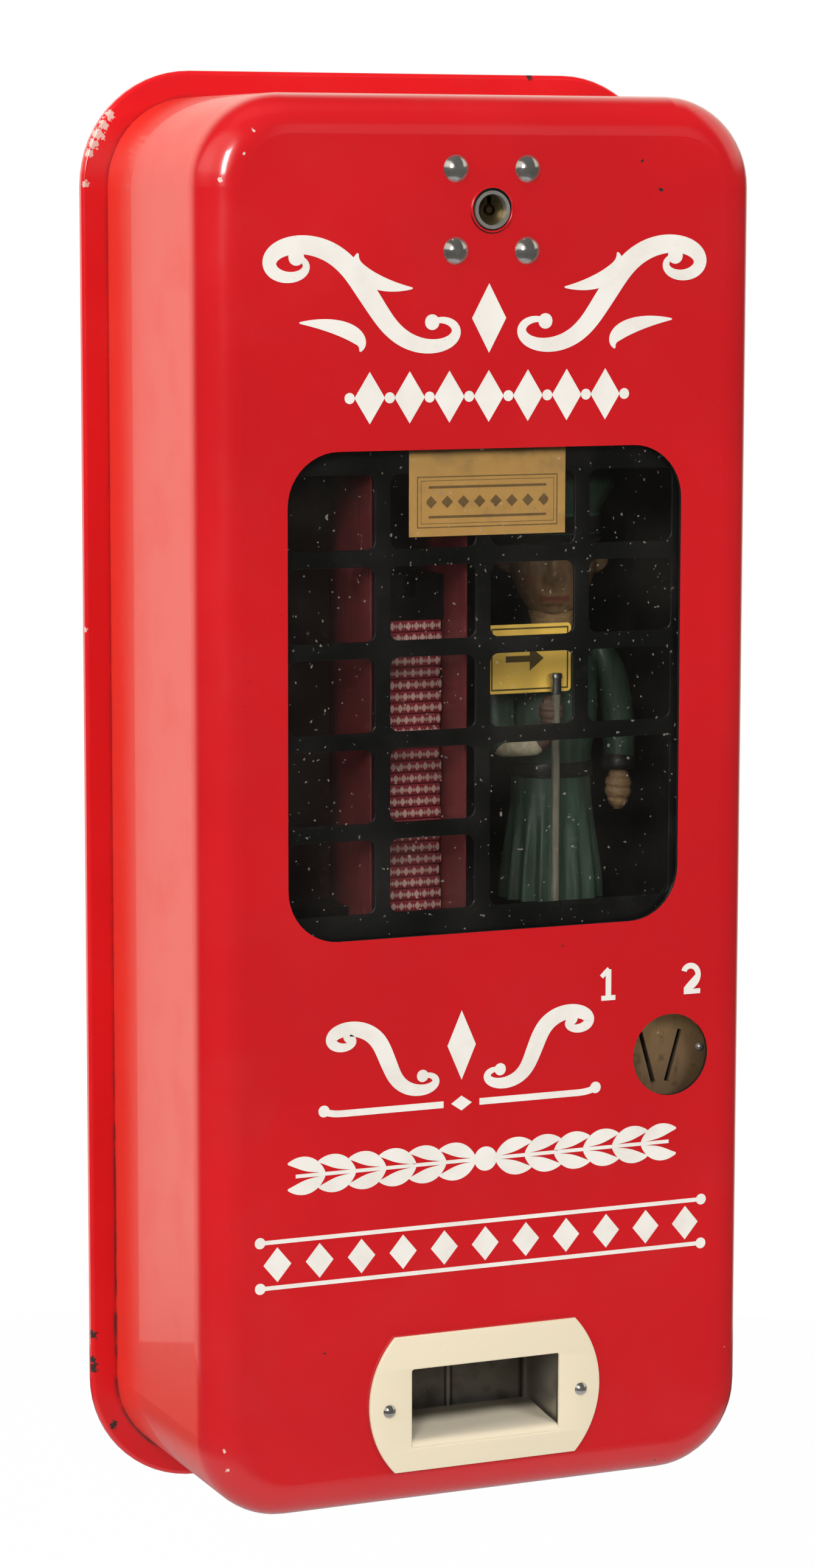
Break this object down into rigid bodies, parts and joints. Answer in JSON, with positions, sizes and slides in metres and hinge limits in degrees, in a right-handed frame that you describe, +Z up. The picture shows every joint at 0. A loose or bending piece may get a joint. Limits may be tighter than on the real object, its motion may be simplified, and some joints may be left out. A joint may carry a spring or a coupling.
{
  "type": "wall-hung clockwork gum vending machine",
  "caption": "Wall-hung clockwork gum vendor with a hinged enamelled case, grilled window, coin entry, delivery outlet, gum magazines and a turning figure",
  "frame": {"origin": "middle of the four wall screw holes, on the back plate's rear face, which lies on the wall", "axes": "+X right as seen from the front, +Y into the wall, +Z up"},
  "size_m": [0.231, 0.1034, 0.52],
  "materials": {
    "red_enamel": "gloss",
    "cream_enamel": "gloss",
    "black_paint": "satin",
    "dark_red_sheet": "satin",
    "zinc_sheet": "galvanised",
    "steel": "satin",
    "spring_steel": "blued",
    "nickel": "polished nickel",
    "brass": "dull",
    "glass": "clear",
    "paper": "matte",
    "wrapped_gum": "waxed",
    "painted_wood": "painted",
    "skin_wood": "painted",
    "sign_tin": "gloss"
  },
  "bodies": {
    "frame": {"back_plate": "red_enamel", "mechanism_plate": "black_paint", "plate_standoffs": "steel", "hinge_plate_leaf": "nickel", "lock_keeper": "steel", "magazine_shelf": "zinc_sheet", "left_magazine": "dark_red_sheet", "right_magazine": "dark_red_sheet", "gum_tabs": "wrapped_gum", "delivery_chute": "zinc_sheet", "brackets": "zinc_sheet", "coin_plate": "brass", "coin_chutes": "zinc_sheet", "motor_lower_plate": "steel", "motor_upper_plate": "steel", "motor_pillars": "brass", "ratchet_click": "steel", "lever_pin": "nickel", "guide_rods": "steel", "frame_screws": "nickel"},
    "cover": {"front_case": "red_enamel", "window_glass": "glass", "window_grille": "black_paint", "paper_label": "paper", "glass_clips": "steel", "outlet_plate": "cream_enamel", "outlet_screws": "nickel", "lock_case": "steel", "lock_barrel": "nickel", "lock_rivets": "nickel", "hinge_case_leaf": "nickel"},
    "lock_core": {"lock_plug": "brass", "lock_cam": "steel"},
    "barrel": {"spring_barrel": "brass", "mainspring": "spring_steel", "great_wheel": "brass"},
    "winder": {"winding_arbor": "steel", "ratchet_wheel": "steel", "winding_key": "nickel"},
    "figure": {"figure_spindle": "steel", "spindle_wheel": "brass", "drive_cam": "steel", "turntable": "black_paint", "figure_coat": "painted_wood", "figure_head": "skin_wood", "figure_arms": "painted_wood", "sign_staff": "steel", "sign_board": "sign_tin"},
    "governor": {"governor_arbor": "steel", "governor_fan": "brass"},
    "slide_bar": {"drive_bar": "steel"},
    "left_slide": {"left_pusher": "steel", "left_bottom_tab": "wrapped_gum"},
    "right_slide": {"right_pusher": "steel", "right_bottom_tab": "wrapped_gum"},
    "left_weight": {"left_follower": "black_paint"},
    "right_weight": {"right_follower": "black_paint"},
    "left_lever": {"left_coin_lever": "brass"},
    "right_lever": {"right_coin_lever": "brass"},
    "till": {"coin_box": "zinc_sheet"}
  },
  "joints": [
    {"name": "cover_tilt", "type": "hinge", "parent": "frame", "child": "cover", "pos_m": [0, -0.0059, -0.2534], "axis": [1, 0, 0], "range_deg": [0, 90]},
    {"name": "lock_turn", "type": "hinge", "parent": "cover", "child": "lock_core", "pos_m": [0.001, -0.09, 0.2108], "axis": [0, -1, 0], "range_deg": [0, 90]},
    {"name": "barrel_turn", "type": "hinge", "parent": "frame", "child": "barrel", "pos_m": [0.07307, -0.03695, -0.12], "axis": [0, 0, 1], "continuous": true},
    {"name": "winder_turn", "type": "hinge", "parent": "frame", "child": "winder", "pos_m": [0.07307, -0.03695, -0.1], "axis": [0, 0, 1], "range_deg": [0, 1440]},
    {"name": "figure_turn", "type": "hinge", "parent": "frame", "child": "figure", "pos_m": [0.047, -0.052, -0.1], "axis": [0, 0, 1], "continuous": true},
    {"name": "governor_turn", "type": "hinge", "parent": "frame", "child": "governor", "pos_m": [0.02285, -0.04321, -0.1], "axis": [0, 0, 1], "continuous": true},
    {"name": "drive_bar_slide", "type": "slide", "parent": "frame", "child": "slide_bar", "axis": [0, -1, 0], "range_m": [0, 0.0125], "stiffness_N_per_m": 60, "springref_m": -0.01},
    {"name": "left_pusher_slide", "type": "slide", "parent": "frame", "child": "left_slide", "axis": [0, -1, 0], "range_m": [0, 0.0125], "stiffness_N_per_m": 60, "springref_m": -0.01},
    {"name": "right_pusher_slide", "type": "slide", "parent": "frame", "child": "right_slide", "axis": [0, -1, 0], "range_m": [0, 0.0125], "stiffness_N_per_m": 60, "springref_m": -0.01},
    {"name": "left_follower_lift", "type": "slide", "parent": "frame", "child": "left_weight", "axis": [0, 0, 1], "range_m": [0, 0.15]},
    {"name": "right_follower_lift", "type": "slide", "parent": "frame", "child": "right_weight", "axis": [0, 0, 1], "range_m": [0, 0.05]},
    {"name": "left_lever_tip", "type": "hinge", "parent": "frame", "child": "left_lever", "pos_m": [0.0695, -0.066, -0.132], "axis": [1, 0, 0], "range_deg": [0, 15]},
    {"name": "right_lever_tip", "type": "hinge", "parent": "frame", "child": "right_lever", "pos_m": [0.0773, -0.066, -0.132], "axis": [1, 0, 0], "range_deg": [0, 15]},
    {"name": "coin_box_lift", "type": "slide", "parent": "frame", "child": "till", "axis": [0, 0, 1], "range_m": [0, 0.015]}
  ],
  "couplings": [
    {"joint": "barrel_turn", "follows": "figure_turn", "ratio": -0.25},
    {"joint": "governor_turn", "follows": "figure_turn", "ratio": -3}
  ]
}
